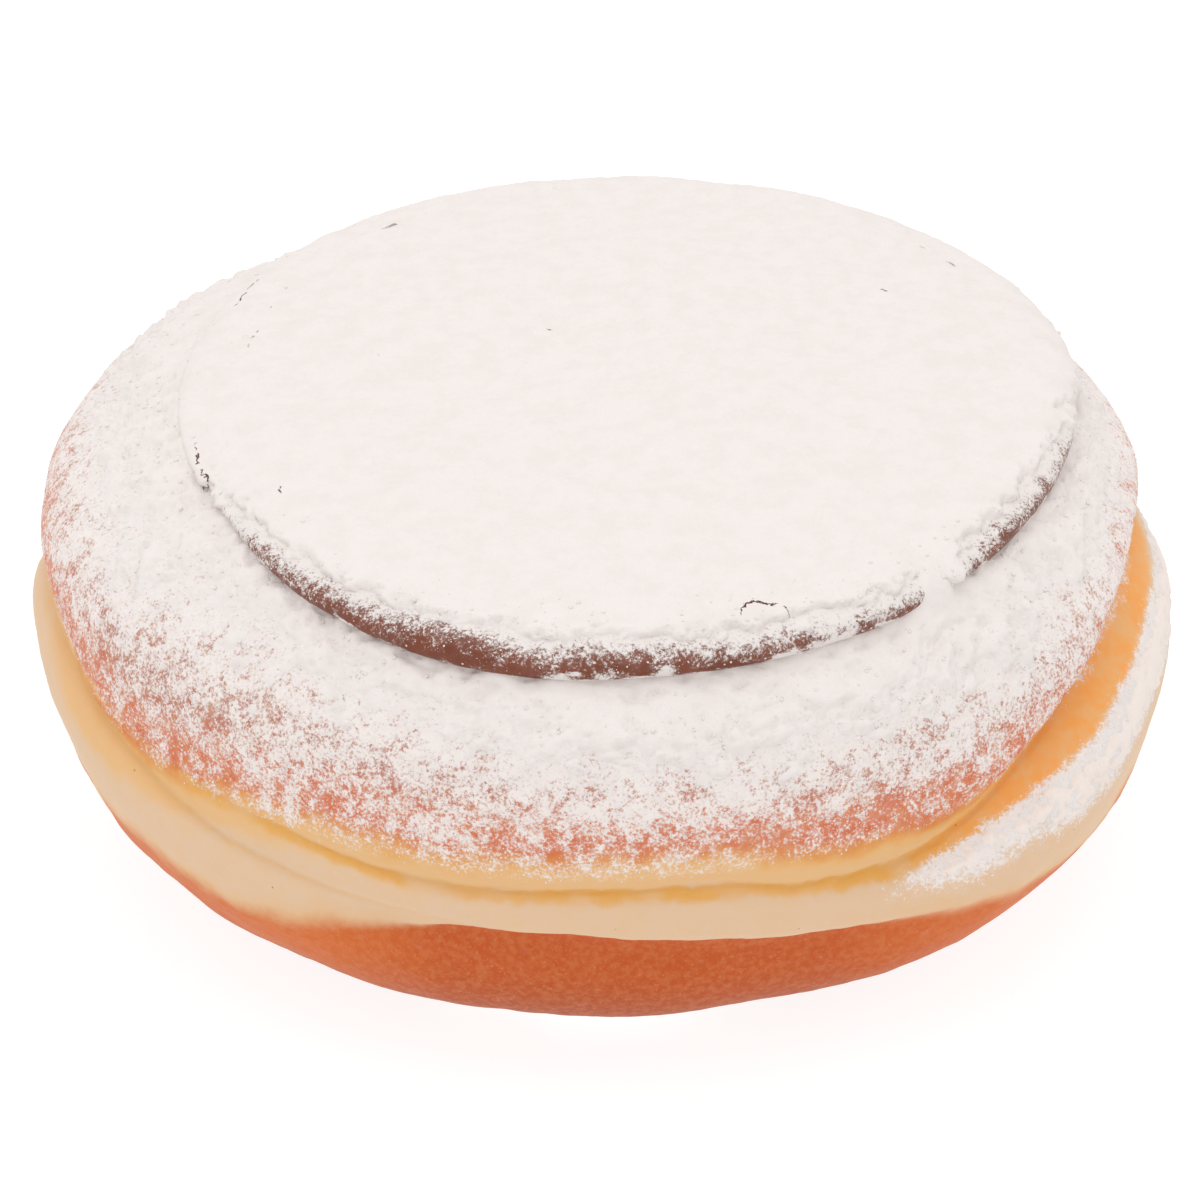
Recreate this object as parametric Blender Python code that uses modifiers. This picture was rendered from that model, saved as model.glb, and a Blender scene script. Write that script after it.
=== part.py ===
# A round yeast doughnut without a hole, as fried and finished by a baker: a bun with a pale band
# round its waist, a thick disc of chocolate icing on its crown, and a coat of icing sugar.
# Metres, +Z up. The base rests on z = 0. "Turn" is the angle round the bun, from the front (-Y)
# towards the right (+X); knots along a turn are (degrees, value) pairs.

import math

import bmesh
import bpy
import numpy as np

# Bun
BUN_RADIUS = 0.0452  # at the waist, the widest level
BUN_HEIGHT = 0.0386
WAIST_HEIGHT = 0.0230
CROWN_POWER = 4.4  # squareness of the profile above the waist
BASE_POWER = 3.25  # and below it
BASE_SINK = 0.0020  # how far the round bottom would reach under z = 0, which flattens the base
OVAL = 0.075  # share by which the bun is longer than wide
OVAL_TURN = 64.0  # where the long way of the bun points
UNEVEN = [(3, 0.004, 1.0), (5, 0.003, 0.4)]  # waves round the bun: how many, share of the radius, phase
LEAN_DEG = 2.5  # the crown dips towards the front
BAND_MIDDLE = 0.0195  # rows are closest together about this level
BAND_SPREAD = 0.0070
ROW_CLOSENESS = (0.45, 1.6)  # everywhere, and added in the band
BUN_COLUMNS = 84
BUN_ROWS = 40

# Folds in the band, where the dough rolled over itself as it rose
UPPER_FOLD_HEIGHT = [
    (-80, 0.0268), (-60, 0.0242), (-39, 0.0216), (-19, 0.0198), (0, 0.0200), (10, 0.0199), (20, 0.0187),
    (30, 0.0184), (37, 0.0195), (45, 0.0218), (57, 0.0258), (68, 0.0288), (90, 0.0286), (120, 0.0265),
    (160, 0.0250), (215, 0.0246), (255, 0.0260),
]
UPPER_FOLD_DEPTH = [
    (-55, 0.0), (-38, 0.0003), (-15, 0.0007), (5, 0.0009), (25, 0.0010), (36, 0.0018), (50, 0.0030),
    (70, 0.0034), (95, 0.0026), (130, 0.0012), (180, 0.0009), (230, 0.0010), (265, 0.0012), (285, 0.0004),
]
UPPER_FOLD_WIDTH = [
    (-40, 0.0010), (10, 0.0011), (30, 0.0014), (60, 0.0024), (90, 0.0022), (150, 0.0014), (250, 0.0013),
]
LOWER_FOLD_HEIGHT = [
    (-90, 0.0250), (-72, 0.0240), (-61, 0.0219), (-46, 0.0190), (-35, 0.0177), (-20, 0.0167), (-6, 0.0165),
    (9, 0.0154), (20, 0.0143), (36, 0.0136), (48, 0.0126), (65, 0.0118), (180, 0.0120), (240, 0.0185),
]
LOWER_FOLD_DEPTH = [
    (-105, 0.0), (-80, 0.0008), (-50, 0.0007), (-30, 0.0005), (-12, 0.0), (60, 0.0), (180, 0.0),
]
LOWER_FOLD_WIDTH = 0.0011
BAND_ROWS = (0.0060, 0.0165, 0.0215, 0.0330)  # levels of the two folds, and where rows lie level again
LIP_RECESS = [(-34, 0.0), (-18, 0.0010), (0, 0.0013), (22, 0.0012), (40, 0.0006), (58, 0.0), (180, 0.0)]
LIP_DROP = 0.0008  # height over which the lip turns under
LIP_REACH = 0.0100  # height over which the brown base comes out again
LEDGE_SWELL = [
    (-60, 0.0011), (-10, 0.0009), (25, 0.0004), (45, 0.0022), (65, 0.0015), (95, 0.0004), (140, 0.0007),
    (200, 0.0004), (260, -0.0003), (285, 0.0004),
]
LEDGE_DROP = 0.0075  # height from the upper fold to the middle of the swell
SHOULDER_SWELL = [
    (-135, 0.0006), (-90, 0.0002), (-45, -0.0005), (0, 0.0), (45, -0.0004), (90, -0.0003), (135, 0.0003),
    (180, -0.0002),
]
SHOULDER_RISE = 0.0080  # height from the upper fold to the middle of the shoulder's swell

# Chocolate disc
DISC_CENTRE = (0.0031, -0.0004)
DISC_RADIUS = [
    (-150, 0.0392), (-120, 0.0382), (-97, 0.0370), (-68, 0.0358), (-44, 0.0374), (-15, 0.0387), (8, 0.0380),
    (33, 0.0372), (58, 0.0362), (90, 0.0366), (120, 0.0373), (165, 0.0380),
]
DISC_TOP_HEIGHT = 0.0413  # above the base, at the disc's middle
DISC_DOME = 0.0018  # by how much the middle stands above the edge of the top
DISC_EDGE_ROUND = 0.0036  # radius of the rounded edge
DISC_UNDERCUT = 0.0012  # how far the edge tucks in where it meets the bun
DISC_EDGE_POWERS = (0.8, 1.1)  # fullness of the edge below its middle and above
DISC_COLUMNS = 60
DISC_UNDER_RINGS = (0.0, 0.35, 0.62, 0.82, 0.94)  # shares of the way from the middle out
DISC_EDGE_RINGS = (0.0, 0.14, 0.3, 0.46, 0.62, 0.78, 0.9, 1.0)  # shares of the climb up the edge
DISC_TOP_RINGS = (0.93, 0.82, 0.66, 0.48, 0.3, 0.15, 0.0)  # shares of the way from the middle out
DIMPLE_CENTRE = (-0.0070, 0.0010)
DIMPLE_RADIUS = 0.0130
DIMPLE_DEPTH = 0.0009  # a shallow hollow in the disc's top, left of its middle

# Icing sugar
SUGAR_THICKNESS = 0.0005
SUGAR_ON_EDGE_RINGS = (0.66, 0.78, 0.9)  # shares of the climb up the disc's edge
SUGAR_ON_TOP_RINGS = (1.0, 0.82, 0.6, 0.36, 0.15, 0.0)  # shares of the way from the middle out
SUGAR_ON_BUN_COLUMNS = 72
SUGAR_ON_BUN_ROWS = 4
SUGAR_ON_BUN_FOOT = [
    (-90, 0.0305), (-70, 0.0292), (-50, 0.0272), (-22, 0.0262), (0, 0.0266), (22, 0.0268), (40, 0.0280),
    (55, 0.0298), (70, 0.0315), (95, 0.0318), (140, 0.0300), (200, 0.0296),
]
LEDGE_SUGAR_TURNS = (26.0, 102.0)
LEDGE_SUGAR_COLUMNS = 22
LEDGE_SUGAR_ROWS = 2
LEDGE_SUGAR_DROP = [  # from the upper fold down to the drift's middle
    (26, 0.0014), (36, 0.0030), (46, 0.0041), (56, 0.0050), (66, 0.0054), (80, 0.0050), (102, 0.0042),
]
LEDGE_SUGAR_WIDTH = 0.0052
LEDGE_SUGAR_TIP = 0.25  # width at the drift's tips, as a share

GAP = 0.0003  # between neighbouring pieces
CREAM = (0.800, 0.560, 0.350, 1.0)
CHOCOLATE = (0.230, 0.085, 0.045, 1.0)
WHITE = (0.910, 0.880, 0.860, 1.0)


def clear_scene():
    for thing in list(bpy.data.objects):
        bpy.data.objects.remove(thing, do_unlink=True)


def material(name, colour, roughness):
    made = bpy.data.materials.new(name)
    made.use_nodes = True
    shader = made.node_tree.nodes["Principled BSDF"]
    shader.inputs["Base Color"].default_value = colour
    shader.inputs["Roughness"].default_value = roughness
    shader.inputs["Metallic"].default_value = 0.0
    made.diffuse_color = colour
    return made


def around(turn, knots):
    # A smooth closed curve through the knots, read at turn (radians).
    angles = np.array([a for a, _ in knots], float)
    values = np.array([v for _, v in knots], float)
    angles = np.concatenate([angles[-2:] - 360, angles, angles[:2] + 360])
    values = np.concatenate([values[-2:], values, values[:2]])
    slopes = np.gradient(values, angles)
    at = (np.degrees(turn) - knots[0][0]) % 360 + knots[0][0]
    k = np.searchsorted(angles, at, side="right") - 1
    span = angles[k + 1] - angles[k]
    s = (at - angles[k]) / span
    start = (2 * s**3 - 3 * s**2 + 1) * values[k] + (s**3 - 2 * s**2 + s) * span * slopes[k]
    end = (3 * s**2 - 2 * s**3) * values[k + 1] + (s**3 - s**2) * span * slopes[k + 1]
    return start + end


def ease(x, low, high):
    t = np.clip((x - low) / (high - low), 0.0, 1.0)
    return t * t * (3 - 2 * t)


def hump(x, width):
    return np.exp(-((x / width) ** 2))


def bun_profile(steps=400):
    # (radius, height) from the middle of the base, round the side, to the crown.
    angle = np.linspace(-math.pi / 2, math.pi / 2, steps)
    power = np.where(angle < 0, BASE_POWER, CROWN_POWER)
    rise = np.where(angle < 0, WAIST_HEIGHT + BASE_SINK, BUN_HEIGHT - WAIST_HEIGHT)
    radius = BUN_RADIUS * np.abs(np.cos(angle)) ** (2 / power)
    height = WAIST_HEIGHT + rise * np.sign(angle) * np.abs(np.sin(angle)) ** (2 / power)
    return radius, np.maximum(height, 0.0)


PROFILE_RADIUS, PROFILE_HEIGHT = bun_profile()


def bun_stations(rows):
    # Rows along the profile, closest together in the band and its folds.
    step = np.hypot(np.diff(PROFILE_RADIUS), np.diff(PROFILE_HEIGHT))
    middle = (PROFILE_HEIGHT[1:] + PROFILE_HEIGHT[:-1]) / 2
    on_side = (PROFILE_RADIUS[1:] > 0.8 * BUN_RADIUS) * 1.0
    in_band = on_side * np.exp(-(((middle - BAND_MIDDLE) / BAND_SPREAD) ** 2))
    closeness = ROW_CLOSENESS[0] + ROW_CLOSENESS[1] * in_band
    run = np.concatenate([[0.0], np.cumsum(step * closeness)])
    at = np.linspace(0.0, run[-1], rows + 1)
    return np.interp(at, run, PROFILE_RADIUS), np.interp(at, run, PROFILE_HEIGHT)


def spread(turn):
    # The bun is a little oval and not quite regular.
    oval = OVAL * np.cos(2 * (turn - math.radians(OVAL_TURN)))
    return 1.0 + 0.5 * oval + sum(share * np.cos(count * turn + phase) for count, share, phase in UNEVEN)


def leaned(height, y):
    share = ease(height, WAIST_HEIGHT - 0.004, BUN_HEIGHT)
    return height + share * math.tan(math.radians(LEAN_DEG)) * y


def fold_relief(turn, height):
    # How far the side stands out (+) or in (-) of the plain profile, at a turn and height.
    upper = around(turn, UPPER_FOLD_HEIGHT)
    lower = around(turn, LOWER_FOLD_HEIGHT)
    out = -around(turn, UPPER_FOLD_DEPTH) * hump(height - upper, around(turn, UPPER_FOLD_WIDTH))
    out -= around(turn, LOWER_FOLD_DEPTH) * hump(height - lower, LOWER_FOLD_WIDTH)
    under = 1.0 - ease(height, lower - LIP_DROP, lower)
    back = ease(height, lower - LIP_REACH, lower - LIP_DROP)
    out -= around(turn, LIP_RECESS) * under * back
    out += around(turn, LEDGE_SWELL) * hump(height - upper + LEDGE_DROP, LEDGE_DROP)
    out += around(turn, SHOULDER_SWELL) * hump(height - upper - SHOULDER_RISE, SHOULDER_RISE)
    return out


def follow_folds(turn, height):
    # The height of a row at a turn: rows in the band run along the folds.
    foot, lower, upper, top = BAND_ROWS
    levels = (foot, around(turn, LOWER_FOLD_HEIGHT), around(turn, UPPER_FOLD_HEIGHT), top)
    return np.where((height > foot) & (height < top), np.interp(height, BAND_ROWS, levels), height)


def bun_row_point(turn, radius, height):
    followed = follow_folds(turn, height)
    if followed != height:
        radius = np.interp(followed, PROFILE_HEIGHT, PROFILE_RADIUS)
    return bun_point(turn, radius, followed)


def bun_point(turn, radius, height):
    side = ease(radius, 0.75 * BUN_RADIUS, 0.92 * BUN_RADIUS)
    reach = radius * spread(turn) + side * fold_relief(turn, height)
    x, y = reach * np.sin(turn), -reach * np.cos(turn)
    return x, y, leaned(height, y)


def crown_height(x, y):
    # Height of the bun's top surface over a point inside the shoulder.
    turn = np.arctan2(x, -y)
    crown = PROFILE_HEIGHT > WAIST_HEIGHT
    plain = np.hypot(x, y) / spread(turn)
    height = np.interp(plain, PROFILE_RADIUS[crown][::-1], PROFILE_HEIGHT[crown][::-1])
    return leaned(height, y)


def wrapped_sphere(name, columns, rows, stations, place, finish):
    # A sphere whose rows take the stations in turn, from the lower pole up.
    ball = bmesh.new()
    bmesh.ops.create_uvsphere(ball, u_segments=columns, v_segments=rows, radius=1.0)
    for vertex in ball.verts:
        row = round((math.asin(max(-1.0, min(1.0, vertex.co.z))) / math.pi + 0.5) * rows)
        turn = math.atan2(vertex.co.x, -vertex.co.y)
        vertex.co = place(turn, *(values[row] for values in stations))
    return finished(name, ball, finish)


def wrapped_sheet(name, columns, rows, place, finish, turns=(-180.0, 180.0)):
    # An open sheet: a flat grid laid round the bun, then thickened outwards.
    sheet = bmesh.new()
    bmesh.ops.create_grid(sheet, x_segments=columns, y_segments=rows, size=0.5)
    for vertex in sheet.verts:
        turn = math.radians(turns[0] + (vertex.co.x + 0.5) * (turns[1] - turns[0]))
        vertex.co = place(turn, vertex.co.y + 0.5)
    bmesh.ops.remove_doubles(sheet, verts=sheet.verts, dist=1e-6)
    made = finished(name, sheet, finish)
    wall = made.modifiers.new("wall", "SOLIDIFY")
    wall.thickness = SUGAR_THICKNESS
    wall.offset = 1.0
    return made


def finished(name, working, finish):
    mesh = bpy.data.meshes.new(name)
    working.to_mesh(mesh)
    working.free()
    mesh.materials.append(finish)
    mesh.shade_smooth()
    made = bpy.data.objects.new(name, mesh)
    bpy.data.collections["doughnut"].objects.link(made)
    return made


def outward(place, turn, along, lift):
    # The point of a surface moved off it by lift, along its outward normal.
    step = 1e-4
    here = np.array(place(turn, along), float)
    round_it = np.array(place(turn + step, along), float) - here
    up_it = np.array(place(turn, along + step), float) - here
    normal = np.cross(round_it, up_it)
    return here + lift * normal / np.linalg.norm(normal)


def make_bun():
    stations = bun_stations(BUN_ROWS)
    finish = material("dough", CREAM, 0.55)
    return wrapped_sphere("bun", BUN_COLUMNS, BUN_ROWS, stations, bun_row_point, finish)


def disc_spot(turn, share):
    # A point of the disc's plan: share is 0 at its middle and 1 at its edge.
    reach = share * around(turn, DISC_RADIUS)
    return DISC_CENTRE[0] + reach * math.sin(turn), DISC_CENTRE[1] - reach * math.cos(turn)


def disc_top(x, y, share):
    lean = math.tan(math.radians(LEAN_DEG)) * y
    dimple = np.hypot(x - DIMPLE_CENTRE[0], y - DIMPLE_CENTRE[1]) / DIMPLE_RADIUS
    return DISC_TOP_HEIGHT + lean - DISC_DOME * share**2 - DIMPLE_DEPTH * math.exp(-(dimple**2))


def disc_edge(turn, climb):
    # The rounded edge: climb is 0 where it leaves the bun, 1 where it meets the top.
    reach = around(turn, DISC_RADIUS)
    x, y = disc_spot(turn, 1.0 - DISC_UNDERCUT / reach)
    foot = crown_height(x, y) + GAP
    share_in = 1.0 - DISC_EDGE_ROUND / reach
    brow = disc_top(*disc_spot(turn, share_in), share_in)
    angle = math.pi * (climb - 0.5)
    low = climb < 0.5
    out = math.cos(angle) ** (DISC_EDGE_POWERS[0] if low else DISC_EDGE_POWERS[1])
    inset = DISC_UNDERCUT if low else DISC_EDGE_ROUND
    x, y = disc_spot(turn, 1.0 - inset * (1.0 - out) / reach)
    return x, y, foot + (brow - foot) / 2 * (1.0 + math.sin(angle))


def disc_under(turn, share):
    x, y = disc_spot(turn, share * (1.0 - DISC_UNDERCUT / around(turn, DISC_RADIUS)))
    return x, y, crown_height(x, y) + GAP


def disc_upper(turn, share):
    share *= 1.0 - DISC_EDGE_ROUND / around(turn, DISC_RADIUS)
    x, y = disc_spot(turn, share)
    return x, y, disc_top(x, y, share)


def disc_ring(turn, surface, share):
    return surface(turn, share)


def make_disc():
    rings = [(disc_under, s) for s in DISC_UNDER_RINGS]
    rings += [(disc_edge, s) for s in DISC_EDGE_RINGS]
    rings += [(disc_upper, s) for s in DISC_TOP_RINGS]
    stations = list(zip(*rings))
    finish = material("chocolate", CHOCOLATE, 0.42)
    return wrapped_sphere("chocolate_disc", DISC_COLUMNS, len(rings) - 1, stations, disc_ring, finish)


def make_sugar_on_disc(finish):
    # Sugar lies on the disc's top and over the brow of its edge, and leaves the side bare.
    rings = [(disc_edge, s) for s in SUGAR_ON_EDGE_RINGS] + [(disc_upper, s) for s in SUGAR_ON_TOP_RINGS]

    def on_disc(turn, along):
        at = along * (len(rings) - 1)
        k = min(int(round(at, 6)), len(rings) - 2)
        ends = [np.array(surface(turn, share)) for surface, share in rings[k : k + 2]]
        return ends[0] + (at - k) * (ends[1] - ends[0])

    def lifted(turn, along):
        if along > 1.0 - 1e-6:
            return on_disc(0.0, 1.0) + (0.0, 0.0, GAP)
        return outward(on_disc, turn, along, GAP)

    return wrapped_sheet("sugar_on_disc", DISC_COLUMNS, len(rings) - 1, lifted, finish)


def reach_past_disc(turn):
    # Radius from the bun's axis to just outside the disc, found step by step.
    along = np.array((math.sin(turn), -math.cos(turn)))
    reach = 0.0
    for _ in range(8):
        spot = along * reach - np.array(DISC_CENTRE)
        reach += around(math.atan2(spot[0], -spot[1]), DISC_RADIUS) + 3 * GAP - math.hypot(*spot)
    return reach / spread(turn)


def make_sugar_on_bun(finish):
    # Sugar lies on the shoulder, from just outside the disc down to where it thins out.
    crown = PROFILE_HEIGHT > WAIST_HEIGHT
    radius, height = PROFILE_RADIUS[crown][::-1], PROFILE_HEIGHT[crown][::-1]
    slope = -np.arctan2(height - WAIST_HEIGHT, radius)

    def on_shoulder(turn, along):
        top = np.interp(reach_past_disc(turn), radius, slope)
        foot = np.interp(-around(turn, SUGAR_ON_BUN_FOOT), -height, slope)
        at = foot + along * (top - foot)
        return bun_point(turn, np.interp(at, slope, radius), np.interp(at, slope, height))

    def lifted(turn, along):
        return outward(on_shoulder, turn, along, GAP)

    return wrapped_sheet("sugar_on_bun", SUGAR_ON_BUN_COLUMNS, SUGAR_ON_BUN_ROWS, lifted, finish)


def make_sugar_on_ledge(finish):
    # A drift on the upper face of the ledge below the wide fold, on the right.
    start, end = (math.radians(t) for t in LEDGE_SUGAR_TURNS)
    side = PROFILE_RADIUS > 0.85 * BUN_RADIUS

    def on_ledge(turn, along):
        swell = math.sqrt(max(0.0, math.sin(math.pi * (turn - start) / (end - start))))
        width = LEDGE_SUGAR_WIDTH * (LEDGE_SUGAR_TIP + (1.0 - LEDGE_SUGAR_TIP) * swell)
        middle = around(turn, UPPER_FOLD_HEIGHT) - around(turn, LEDGE_SUGAR_DROP)
        height = middle + (along - 0.5) * width
        return bun_point(turn, np.interp(height, PROFILE_HEIGHT[side], PROFILE_RADIUS[side]), height)

    def lifted(turn, along):
        return outward(on_ledge, turn, along, 2 * GAP)

    size = (LEDGE_SUGAR_COLUMNS, LEDGE_SUGAR_ROWS)
    return wrapped_sheet("sugar_on_ledge", *size, lifted, finish, LEDGE_SUGAR_TURNS)


def centre_on_origin(pieces):
    # The origin is under the middle of the whole, on the surface it rests on.
    bpy.context.view_layer.update()
    graph = bpy.context.evaluated_depsgraph_get()
    corners = np.array([c for p in pieces for c in p.evaluated_get(graph).bound_box])
    middle = (corners.min(0) + corners.max(0)) / 2
    for piece in pieces:
        piece.location = (-middle[0], -middle[1], 0.0)


def main():
    clear_scene()
    group = bpy.data.collections.new("doughnut")
    bpy.context.scene.collection.children.link(group)
    sugar = material("icing_sugar", WHITE, 0.9)
    pieces = [make_bun(), make_disc()]
    pieces += [make_sugar_on_disc(sugar), make_sugar_on_bun(sugar), make_sugar_on_ledge(sugar)]
    centre_on_origin(pieces)


main()
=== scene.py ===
import math

import bmesh
import bpy
import numpy as np
from mathutils import Matrix, Vector, noise
from mathutils.bvhtree import BVHTree


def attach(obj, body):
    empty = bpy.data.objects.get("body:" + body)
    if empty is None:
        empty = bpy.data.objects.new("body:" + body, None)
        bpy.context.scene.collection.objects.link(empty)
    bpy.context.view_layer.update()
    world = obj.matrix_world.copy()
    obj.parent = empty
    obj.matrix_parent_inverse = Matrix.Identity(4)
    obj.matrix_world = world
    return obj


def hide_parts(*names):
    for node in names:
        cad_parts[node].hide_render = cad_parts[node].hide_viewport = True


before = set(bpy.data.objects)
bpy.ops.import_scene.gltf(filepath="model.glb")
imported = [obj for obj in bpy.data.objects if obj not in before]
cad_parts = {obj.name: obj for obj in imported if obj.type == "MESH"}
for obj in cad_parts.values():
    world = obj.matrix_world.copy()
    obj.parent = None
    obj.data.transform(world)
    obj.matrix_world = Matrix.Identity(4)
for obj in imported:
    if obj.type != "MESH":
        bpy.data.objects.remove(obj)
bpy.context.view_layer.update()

# A sugar-dusted doughnut with a chocolate disc. Turns are degrees round the bun, from the front (-Y)
# towards the right (+X). Heights and lengths along a turn are millimetres, the rest metres.

mm = 0.001


# camera

cameraView = {
    "target": (-0.0004, 0.0005, 0.0198),
    "distance": 0.400,
    "elevation": 30.6,
    "roll": -1.7,  # turns the view clockwise, so the doughnut leans the other way
    "lens": 142.9,
}


def placeCamera(view):
    rise = math.radians(view["elevation"])
    away = Vector((0.0, -math.cos(rise), math.sin(rise)))
    camera = bpy.data.objects.new("camera", bpy.data.cameras.new("camera"))
    bpy.context.scene.collection.objects.link(camera)
    turned = away.to_track_quat("Z", "Y").to_matrix().to_4x4()
    rolled = turned @ Matrix.Rotation(math.radians(view["roll"]), 4, "Z")
    camera.matrix_world = Matrix.Translation(Vector(view["target"]) + away * view["distance"]) @ rolled
    camera.data.lens = view["lens"]
    camera.data.clip_start = 0.01
    bpy.context.scene.camera = camera


placeCamera(cameraView)
print("camera placed")


# nodes and materials

def addNode(tree, kind, links=None, **settings):
    made = tree.nodes.new(kind)
    for key, value in settings.items():
        setattr(made, key, value)
    for key, value in (links or {}).items():
        if isinstance(value, bpy.types.NodeSocket):
            tree.links.new(value, made.inputs[key])
        else:
            made.inputs[key].default_value = value
    return made


def calc(tree, operation, a, b=0.0, c=0.0, clamp=False):
    links = {0: a, 1: b, 2: c}
    return addNode(tree, "ShaderNodeMath", links, operation=operation, use_clamp=clamp).outputs[0]


def ease(tree, value, low, high, start=0.0, end=1.0, how="SMOOTHSTEP"):
    links = {"Value": value, "From Min": low, "From Max": high, "To Min": start, "To Max": end}
    return addNode(tree, "ShaderNodeMapRange", links, interpolation_type=how).outputs[0]


def hump(tree, value, width):
    # 1 where the value is 0, down to 0 at width on either side
    return ease(tree, calc(tree, "ABSOLUTE", value), 0.0, width, 1.0, 0.0)


def mixColour(tree, share, first, second, how="MIX"):
    links = {0: share, 6: first, 7: second}
    return addNode(tree, "ShaderNodeMix", links, data_type="RGBA", blend_type=how).outputs[2]


def noiseAt(tree, place, size, detail=4.0, rough=0.55, twist=0.0):
    links = {"Vector": place, "Scale": 1.0 / size, "Detail": detail, "Roughness": rough,
             "Distortion": twist}
    return addNode(tree, "ShaderNodeTexNoise", links).outputs[0]


def attribute(tree, name):
    return addNode(tree, "ShaderNodeAttribute", attribute_name=name).outputs["Fac"]


def objectPlace(tree):
    return addNode(tree, "ShaderNodeTexCoord").outputs["Object"]


def newGroup(name, inputs, outputs):
    tree = bpy.data.node_groups.new(name, "ShaderNodeTree")
    for label, kind, value in inputs:
        socket = tree.interface.new_socket(label, in_out="INPUT", socket_type="NodeSocket" + kind)
        if kind != "Vector":
            socket.default_value = value
    for label, kind in outputs:
        tree.interface.new_socket(label, in_out="OUTPUT", socket_type="NodeSocket" + kind)
    entry = tree.nodes.new("NodeGroupInput").outputs
    outlet = tree.nodes.new("NodeGroupOutput").inputs
    return tree, entry, outlet


def useGroup(tree, group, links):
    made = addNode(tree, "ShaderNodeGroup", node_tree=group)
    for key, value in links.items():
        if isinstance(value, bpy.types.NodeSocket):
            tree.links.new(value, made.inputs[key])
        else:
            made.inputs[key].default_value = value
    return made.outputs


def newMaterial(name, **constants):
    material = bpy.data.materials.new(name)
    material.use_nodes = True
    shader = material.node_tree.nodes["Principled BSDF"]
    for key, value in constants.items():
        shader.inputs[key.replace("_", " ")].default_value = value
    return material, material.node_tree, shader


def finishSurface(tree, shader, colour, height, depth, roughness=None):
    tree.links.new(colour, shader.inputs["Base Color"])
    bump = addNode(tree, "ShaderNodeBump", {"Height": height, "Distance": depth, "Strength": 1.0})
    tree.links.new(bump.outputs[0], shader.inputs["Normal"])
    if roughness is not None:
        tree.links.new(roughness, shader.inputs["Roughness"])


dustLook = {
    # how much the specks count, and for the clumps and drifts also how many grains wide they are
    "specks": 1.55,
    "clumps": (4.0, 0.85),
    "drifts": (14.0, 0.50),
    "reach": 0.42,  # how far no cover and full cover tip the balance
    "edge": 0.16,  # softness of a speck's edge
}


def makeDusting(look):
    # Sugar dust: where it lies and how high, from how much of the surface it covers (0 to 1). Specks
    # gather in clumps, clumps in drifts, and between them lies a thin veil.
    inputs = [("Place", "Vector", None), ("Cover", "Float", 0.5), ("Grain", "Float", 0.0005),
              ("Veil", "Float", 0.5)]
    tree, entry, outlet = newGroup("sugarDusting", inputs, [("Mask", "Float"), ("Relief", "Float")])
    place, cover, grain = entry["Place"], entry["Cover"], entry["Grain"]

    def layer(size, detail, rough, twist=0.0):
        links = {"Vector": place, "Scale": calc(tree, "DIVIDE", 1.0, size), "Detail": detail,
                 "Roughness": rough, "Distortion": twist}
        return calc(tree, "SUBTRACT", addNode(tree, "ShaderNodeTexNoise", links).outputs[0], 0.5)

    clumpSize, clumpShare = look["clumps"]
    driftSize, driftShare = look["drifts"]
    specks = layer(grain, 4.0, 0.75)
    clumps = layer(calc(tree, "MULTIPLY", grain, clumpSize), 4.0, 0.6, 0.5)
    drifts = layer(calc(tree, "MULTIPLY", grain, driftSize), 2.0, 0.5)
    total = calc(tree, "MULTIPLY_ADD", specks, look["specks"], calc(tree, "MULTIPLY", clumps, clumpShare))
    total = calc(tree, "MULTIPLY_ADD", drifts, driftShare, total)
    above = calc(tree, "ADD", total, ease(tree, cover, 0.0, 1.0, -look["reach"], look["reach"], "LINEAR"))
    thin = ease(tree, above, -look["edge"], look["edge"])
    thin = calc(tree, "MULTIPLY", thin, ease(tree, cover, 0.0, 0.10))
    veil = ease(tree, calc(tree, "ADD", cover, clumps), 0.0, 0.9)
    veil = calc(tree, "MULTIPLY", veil, entry["Veil"])
    whole = calc(tree, "ADD", veil, calc(tree, "MULTIPLY", thin, calc(tree, "SUBTRACT", 1.0, veil)))
    relief = calc(tree, "MULTIPLY", thin, calc(tree, "MULTIPLY_ADD", above, 2.0, 0.4))
    tree.links.new(whole, outlet["Mask"])
    tree.links.new(relief, outlet["Relief"])
    return tree


def makeMottle():
    # A little lighter and darker in patches and in grain.
    inputs = [("Place", "Vector", None), ("Colour", "Color", (1, 1, 1, 1)),
              ("Dark", "Color", (0, 0, 0, 1)), ("Size", "Float", 0.003), ("Amount", "Float", 0.2)]
    tree, entry, outlet = newGroup("mottle", inputs, [("Colour", "Color")])
    links = {"Vector": entry["Place"], "Scale": calc(tree, "DIVIDE", 1.0, entry["Size"]),
             "Detail": 5.0, "Roughness": 0.62}
    cloud = addNode(tree, "ShaderNodeTexNoise", links).outputs[0]
    share = calc(tree, "MULTIPLY", ease(tree, cloud, 0.38, 0.66), entry["Amount"])
    tree.links.new(mixColour(tree, share, entry["Colour"], entry["Dark"]), outlet["Colour"])
    return tree


dusting = makeDusting(dustLook)
mottle = makeMottle()

sugarColours = {
    "bright": (0.806, 0.748, 0.720, 1),
    "shade": (0.755, 0.688, 0.655, 1),
    "dust": (0.870, 0.798, 0.762, 1),  # where it lies thinly
    "ledge": (0.842, 0.756, 0.706, 1),
    "ledgeShade": (0.815, 0.695, 0.620, 1),
    "crack": (0.110, 0.045, 0.040, 1),
}


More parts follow.
